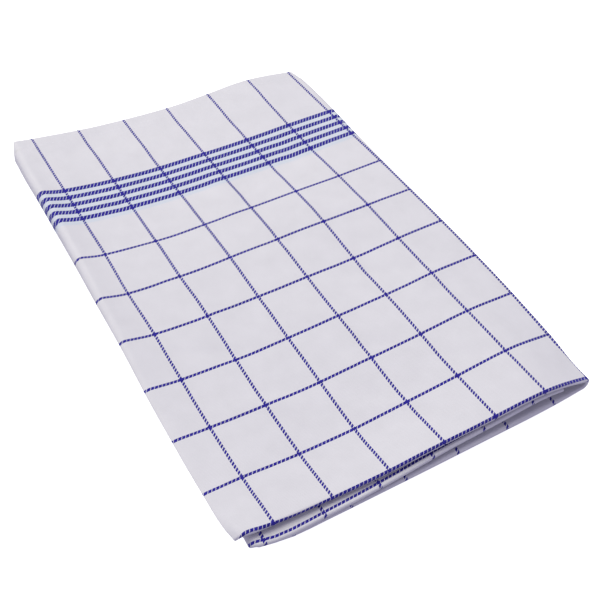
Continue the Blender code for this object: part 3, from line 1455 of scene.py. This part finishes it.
@dataclass
class WovenTowel:
    """The whole towel: one thin sheet on the pad's folds.

    Attributes:
        pad: How the cloth lies.
        finish: What it is woven of.
        fine: Grid step where the cloth shows.
        coarse: Grid step where it is hidden.
        edge_round: Radius at selvages and hems.
        sharp: Edges that turn by more than this are rounded, in degrees.
        edge_steps: Steps across the free edge.
        right_turn_steps: Steps round the fold between the top and the base panel.
        left_turn_steps: Steps round the fold between the base and the middle panel.
        front_turn_steps: Steps round the front fold.
        near_front: Distances from the front fold of the first rows of the grid.
        near_hem: Distances from the hem's edge of the last ones.
        before_hem: The evenly spaced rows end this far before the hem.
    """

    pad: FoldedPad = field(default_factory=FoldedPad)
    finish: CottonTwill = field(default_factory=CottonTwill)
    fine: float = 2.0
    coarse: float = 9.0
    edge_round: float = 0.24
    sharp: float = 70.0
    edge_steps: int = 20
    right_turn_steps: int = 16
    left_turn_steps: int = 12
    front_turn_steps: int = 12
    near_front: Row = (0.0, 0.6, 1.3, 2.2, 3.4, 5.0, 7.0)
    near_hem: Row = (9.75, 6.5, 3.5, 1.4, 0.0)
    before_hem: float = 1.2

    def sections(self) -> list[Section]:
        """All lines along the cloth, from the top panel's selvage to the middle panel's."""
        pad = self.pad
        start = pad.edge_start / pad.panel_width
        top_steps = round((pad.panel_width - pad.edge_start) / self.fine)
        hidden = round(pad.panel_width / self.coarse)
        found = [
            pad.edge_section(1.0 - k / self.edge_steps) for k in range(self.edge_steps + 1)
        ]
        found += [
            pad.flat_section(Panel.TOP, mix(start, 1.0, k / top_steps))
            for k in range(1, top_steps + 1)
        ]
        found += [
            pad.turn_section(Panel.TOP, Side.RIGHT, 1.0 - k / self.right_turn_steps)
            for k in range(1, self.right_turn_steps)
        ]
        found += [pad.flat_section(Panel.BASE, 1.0 - k / hidden) for k in range(hidden + 1)]
        found += [
            pad.turn_section(Panel.MIDDLE, Side.LEFT, k / self.left_turn_steps)
            for k in range(1, self.left_turn_steps)
        ]
        end = pad.middle_width / pad.panel_width
        found += [pad.flat_section(Panel.MIDDLE, end * k / hidden) for k in range(hidden + 1)]
        return found

    def stops(self) -> list[Stop]:
        """All places along the cloth, from one hem over the front fold to the other."""
        half = self.pad.cloth.length / 2.0
        hem = self.pad.cloth.hem_width
        hem_starts = (half - hem - self.before_hem / 2.0) / half
        turn = [
            Stop(0.0, math.pi * k / self.front_turn_steps) for k in range(1, self.front_turn_steps)
        ]

        def even_rows(step: float) -> list[float]:
            """Even rows between those near the front fold and the hem.

            Args:
                step: About how far they are apart.

            Returns:
                Their distances from the front fold.
            """
            first, last = self.near_front[-1], half - hem - self.before_hem
            count = round((last - first) / step)
            return [mix(first, last, k / count) for k in range(1, count + 1)]

        outer = [Stop((half - d) / half, 0.0, True) for d in reversed(self.near_hem)]
        outer.append(Stop(hem_starts, 0.0))
        outer += [Stop(d / half, 0.0) for d in reversed(even_rows(self.fine))]
        outer += [Stop(d / half, 0.0) for d in reversed(self.near_front)]
        inner = [Stop(d / half, math.pi) for d in self.near_front]
        inner += [Stop(d / half, math.pi) for d in even_rows(self.coarse)]
        inner.append(Stop(hem_starts, math.pi))
        inner += [Stop((half - d) / half, math.pi, True) for d in self.near_hem]
        return outer + turn + inner

    def build(self) -> bpy.types.Object:
        """Folds a flat grid, and gives it thickness, rounded edges and its finish.

        Returns:
            The towel.
        """
        sections, stops = self.sections(), self.stops()
        across, along = len(sections) - 1, len(stops) - 1
        shape = bmesh.new()
        bmesh.ops.create_grid(shape, x_segments=across, y_segments=along, size=1.0)
        thick = shape.verts.layers.deform.verify()
        points: dict[int, ClothPoint] = {}
        for vertex in shape.verts:
            i = round((vertex.co.x + 1.0) / 2.0 * across)
            j = round((vertex.co.y + 1.0) / 2.0 * along)
            point = self.pad.point(sections[i], stops[j])
            points[vertex.index] = point
            vertex.co = point.place
            vertex[thick][0] = point.sheet / self.pad.cloth.hem_sheet
        runs = shape.loops.layers.uv.new(UV_NAME)
        for face in shape.faces:
            for loop in face.loops:
                point = points[loop.vert.index]
                loop[runs].uv = (point.run, point.length)
        towel = make_piece("woven_towel", shape, self.finish.material())
        towel.vertex_groups.new(name=THICKNESS_GROUP)
        sheet = towel.modifiers.new("sheet thickness", "SOLIDIFY")
        sheet.thickness = self.pad.cloth.hem_sheet * MM
        sheet.offset = 0.0
        sheet.vertex_group = THICKNESS_GROUP
        sheet.use_even_offset = True
        edges = towel.modifiers.new("soft edges", "BEVEL")
        edges.affect = "EDGES"
        edges.limit_method = "ANGLE"
        edges.angle_limit = math.radians(self.sharp)
        edges.width = self.edge_round * MM
        edges.segments = 2
        edges.profile = 0.5
        edges.material = -1
        LOG.info("woven towel: %d sections by %d stops", across + 1, along + 1)
        return towel


@dataclass
class HemStitching:
    """The two rows of lockstitches that hold the hems, seen on the cloth's right side.

    Attributes:
        pad: How the cloth lies.
        finish: The thread.
        from_edge: Distance of the row from the hem's edge.
        pitch: From one stitch to the next.
        length: Of one stitch.
        thread: Thickness of the thread.
        sunk: How far the thread lies in the cloth.
        sides: Sides of the thread's section.
        bow: How a stitch dives into the cloth at its ends.
    """

    pad: FoldedPad = field(default_factory=FoldedPad)
    finish: SewingThread = field(default_factory=SewingThread)
    from_edge: float = 8.5
    pitch: float = 2.6
    length: float = 2.1
    thread: float = 0.28
    sunk: float = 0.16
    sides: int = 6
    bow: tuple[Row, ...] = (
        # share of the stitch, how far it dives by its own radius, its girth
        (0.0, 1.0, 0.5),
        (0.2, 0.2, 0.9),
        (0.8, 0.2, 0.9),
        (1.0, 1.0, 0.5),
    )

    def row(self, sections: list[Section], stop: Stop) -> list[tuple[Vector, Vector]]:
        """Places along one row, on the cloth's right side.

        Args:
            sections: The lines along the pad, in order across the cloth.
            stop: Where the row lies along the pad.

        Returns:
            Points and outward normals.
        """
        found = []
        for section in sections:
            spot = section.read(stop.share)
            # The right side faces away from the panel's other sheet.
            out = Vector((spot.out_x, 0.0, spot.out_z)) * math.cos(stop.angle)
            point = self.pad.point(section, stop)
            lift = point.sheet / 2.0 + self.thread / 2.0 - self.sunk
            found.append((point.place + out * lift * MM, out))
        return found

    def stitch(self) -> bpy.types.Mesh:
        """Makes one stitch, a short bowed thread.

        Returns:
            Its mesh, which starts at the origin and is a metre long, along -Z.
        """
        shape = bmesh.new()
        radius = self.thread / 2.0 * MM
        before: list[bmesh.types.BMEdge] = []
        for share, dive, girth in self.bow:
            ring = bmesh.ops.create_circle(
                shape,
                cap_ends=share in (0.0, 1.0),
                segments=self.sides,
                radius=radius * girth,
                matrix=Matrix.Translation((dive * radius, 0.0, -share)),
            )
            edges = list({edge for vertex in ring["verts"] for edge in vertex.link_edges})
            if before:
                bmesh.ops.bridge_loops(shape, edges=before + edges)
            before = edges
        mesh = bpy.data.meshes.new("stitch")
        shape.to_mesh(mesh)
        shape.free()
        return mesh

    def sew(
        self, shape: bmesh.types.BMesh, stitch: bpy.types.Mesh, a: Vector, b: Vector, out: Vector
    ) -> None:
        """Adds a stitch, drawn to its real length.

        Args:
            shape: Mesh that the stitch is added to.
            stitch: Mesh of one stitch.
            a: Its start.
            b: Its end.
            out: Direction away from the cloth.
        """
        along = b - a
        across = along.cross(out).normalized()
        up = across.cross(along).normalized()
        turned = Matrix((-up, across, -along)).transposed().to_4x4()
        sewn = len(shape.verts)
        shape.from_mesh(stitch)
        shape.verts.ensure_lookup_table()
        bmesh.ops.transform(
            shape, matrix=Matrix.Translation(a) @ turned, verts=shape.verts[sewn:]
        )

    def build(self, sections: list[Section]) -> bpy.types.Object:
        """Sews both rows.

        Args:
            sections: The lines along the pad, in order across the cloth.

        Returns:
            The stitches of both hems, as one piece.
        """
        half = self.pad.cloth.length / 2.0
        share = (half - self.from_edge) / half
        stitch = self.stitch()
        shape = bmesh.new()
        count = 0
        for angle in (0.0, math.pi):
            row = self.row(sections, Stop(share, angle, True))
            runs = [0.0]
            for (a, _), (b, _) in zip(row, row[1:]):
                runs.append(runs[-1] + (b - a).length / MM)
            start = self.pitch
            while start + self.length < runs[-1] - self.pitch:
                ends = []
                for run in (start, start + self.length):
                    k = max(i for i, r in enumerate(runs[:-1]) if r <= run)
                    t = (run - runs[k]) / (runs[k + 1] - runs[k])
                    ends.append((row[k][0].lerp(row[k + 1][0], t), row[k][1]))
                self.sew(shape, stitch, ends[0][0], ends[1][0], ends[0][1])
                start += self.pitch
                count += 1
        bpy.data.meshes.remove(stitch)
        bmesh.ops.recalc_face_normals(shape, faces=shape.faces)
        stitching = make_piece("hem_stitching", shape, self.finish.material())
        LOG.info("hem stitching: %d stitches", count)
        return stitching


# ------------------------------------------------------------------------------- studio


@dataclass
class Studio:
    """Plain pale floor, soft light and the camera.

    Attributes:
        floor: The floor's finish.
        floor_size: Half the floor's side, in metres.
        floor_z: Height of the floor, just under the towel so that they don't meet.
        sky: Strength of the even light from all round.
        sky_colour: Its colour, a little cool.
        lamp_colour: Colour of the lamp, a little warm.
        lamp_power: Power of the lamp, in watts.
        lamp_size: Side of the lamp, in metres.
        lamp_place: Where it hangs, above and behind the towel, in metres.
        azimuth: Direction in which the camera looks, from +Y towards +X, in degrees.
        elevation: How far it looks down, in degrees.
        roll: How far it is turned about its own line of sight, in degrees.
        distance: From the point that it looks at, in metres.
        target: The point that it looks at, in metres.
        lens: Focal length.
        sensor: Width of the sensor that the focal length goes with.
        nearest: What lies nearer to the camera than this isn't seen, in metres.
    """

    floor: LightTable = field(default_factory=LightTable)
    floor_size: float = 4.0
    floor_z: float = -0.0002
    sky: float = 0.57
    sky_colour: str = "#e2dfff"
    lamp_colour: str = "#feffeb"
    lamp_power: float = 108.0
    lamp_size: float = 3.0
    lamp_place: Row = (-0.55, 1.25, 3.0)
    azimuth: float = 32.90
    elevation: float = 46.28
    roll: float = 3.50
    distance: float = 0.567
    target: Row = (0.00015, -0.03188, 0.0)
    lens: float = 58.57
    sensor: float = 36.0
    nearest: float = 0.01

    def build_floor(self) -> bpy.types.Object:
        """Lays the floor.

        Returns:
            The floor.
        """
        shape = bmesh.new()
        bmesh.ops.create_grid(shape, x_segments=2, y_segments=2, size=self.floor_size)
        floor = make_piece("studio_floor", shape, self.floor.material())
        floor.location.z = self.floor_z
        # Its glow is for the ground only and doesn't reach the cloth.
        floor.visible_diffuse = False
        return floor

    def build_light(self) -> None:
        """Hangs a large soft lamp behind the towel in an evenly bright room."""
        world = bpy.data.worlds.new("studio_room")
        world.use_nodes = True
        background = world.node_tree.nodes["Background"]
        background.inputs["Color"].default_value = linear(self.sky_colour)
        background.inputs["Strength"].default_value = self.sky
        bpy.context.scene.world = world
        lamp = bpy.data.lights.new("soft_lamp", "AREA")
        lamp.energy = self.lamp_power
        lamp.color = linear(self.lamp_colour)[:3]
        lamp.size = self.lamp_size
        holder = bpy.data.objects.new("soft_lamp", lamp)
        holder.location = self.lamp_place
        holder.rotation_euler = Vector(self.lamp_place).to_track_quat("Z", "Y").to_euler()
        bpy.context.collection.objects.link(holder)

    def build_camera(self) -> bpy.types.Object:
        """Sets up the camera.

        Returns:
            The camera.
        """
        azimuth, elevation = math.radians(self.azimuth), math.radians(self.elevation)
        level = math.cos(elevation)
        ahead = Vector((math.sin(azimuth) * level, math.cos(azimuth) * level, -math.sin(elevation)))
        right = ahead.cross(Vector((0.0, 0.0, 1.0))).normalized()
        turned = Matrix.Rotation(math.radians(-self.roll), 3, ahead)
        right = turned @ right
        up = right.cross(ahead)
        lens = bpy.data.cameras.new("view")
        lens.sensor_width = self.sensor
        lens.lens = self.lens
        lens.clip_start = self.nearest
        camera = bpy.data.objects.new("view", lens)
        rotation = Matrix((right, up, -ahead)).transposed()
        camera.matrix_world = Matrix.Translation(
            Vector(self.target) - ahead * self.distance
        ) @ rotation.to_4x4()
        bpy.context.collection.objects.link(camera)
        bpy.context.scene.camera = camera
        return camera

    def build(self) -> None:
        """Builds floor, light and camera."""
        self.build_floor()
        self.build_light()
        self.build_camera()
        bpy.context.scene.view_settings.view_transform = "Standard"
        LOG.info("studio: floor, lamp and camera")


def main() -> None:
    """Builds the studio, the towel and its stitching, attaches both to the root body and hides the
    imported cloth part.
    """
    logging.basicConfig(level=logging.INFO, format="%(message)s")
    Studio().build()
    weaving = WovenTowel()
    towel = weaving.build()
    stitching = HemStitching(weaving.pad).build(weaving.sections())
    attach(towel, "root")
    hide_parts("towel_cloth")
    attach(stitching, "root")


if __name__ == "__main__":
    main()
